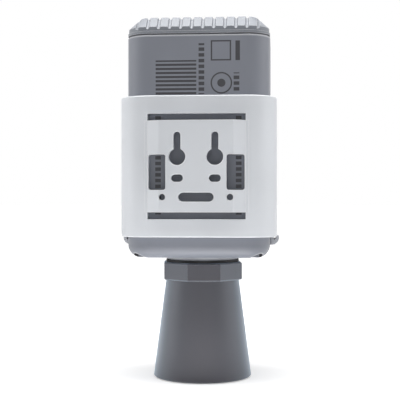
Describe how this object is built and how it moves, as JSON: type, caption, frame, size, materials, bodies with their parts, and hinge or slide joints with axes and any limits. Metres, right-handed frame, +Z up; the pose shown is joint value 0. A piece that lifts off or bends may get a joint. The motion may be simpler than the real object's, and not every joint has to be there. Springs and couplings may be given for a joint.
{
  "type": "wireless ultrasonic level sensor",
  "caption": "Rounded-square radio level sensor with a ribbed cap, a downward ultrasonic horn and a C-shaped wall bracket with keyholes and strap slots.",
  "frame": {"origin": "centre of the horn's mouth, in the plane of its rim", "axes": "+Z up along the sounding axis, -Y towards the wall behind the bracket, +X to the right seen from the wall"},
  "size_m": [0.0804, 0.0784, 0.1832],
  "materials": {
    "case_grey": "fine moulded grain",
    "cap_grey": "fine moulded grain",
    "bracket_white": "smooth moulding",
    "horn_grey": "smooth moulding",
    "seal_black": "matt",
    "transducer_metal": "satin",
    "wire_red": "satin",
    "header_white": "satin",
    "carrier_black": "fine moulded grain",
    "cell_wrap": "shrink sleeve",
    "contact_metal": "nickel plate",
    "board_green": "solder mask",
    "shield_metal": "tin plate",
    "chip_black": "moulded resin",
    "led_clear": "clear resin",
    "screw_steel": "stainless"
  },
  "bodies": {
    "sensor": {"housing": "case_grey", "cap": "cap_grey", "base": "case_grey", "horn": "horn_grey", "cap_seal": "seal_black", "base_seal": "seal_black", "horn_gasket": "seal_black", "lock_nut": "horn_grey", "transducer": "transducer_metal", "transducer_boot": "seal_black", "transducer_leads": "wire_red", "lead_plug": "header_white", "lead_header": "header_white", "carrier": "carrier_black", "battery_retainer": "carrier_black", "battery_left": "cell_wrap", "battery_right": "cell_wrap", "lower_contacts": "contact_metal", "bus_plate": "contact_metal", "antenna": "contact_metal", "main_board": "board_green", "radio_module": "shield_metal", "controller_chip": "chip_black", "drive_transformer": "chip_black", "status_led": "led_clear", "switch_body": "shield_metal", "base_screws": "screw_steel", "carrier_screws": "screw_steel", "retainer_screws": "screw_steel", "board_screws": "screw_steel"},
    "bracket": {"wall_bracket": "bracket_white"},
    "button": {"power_button": "chip_black"}
  },
  "joints": [
    {"name": "bracket_slide", "type": "slide", "parent": "sensor", "child": "bracket", "axis": [0, 0, 1], "range_m": [0, 0.11]},
    {"name": "button_press", "type": "slide", "parent": "sensor", "child": "button", "axis": [0, -1, 0], "range_m": [0, 0.0005], "stiffness_N_per_m": 200}
  ]
}
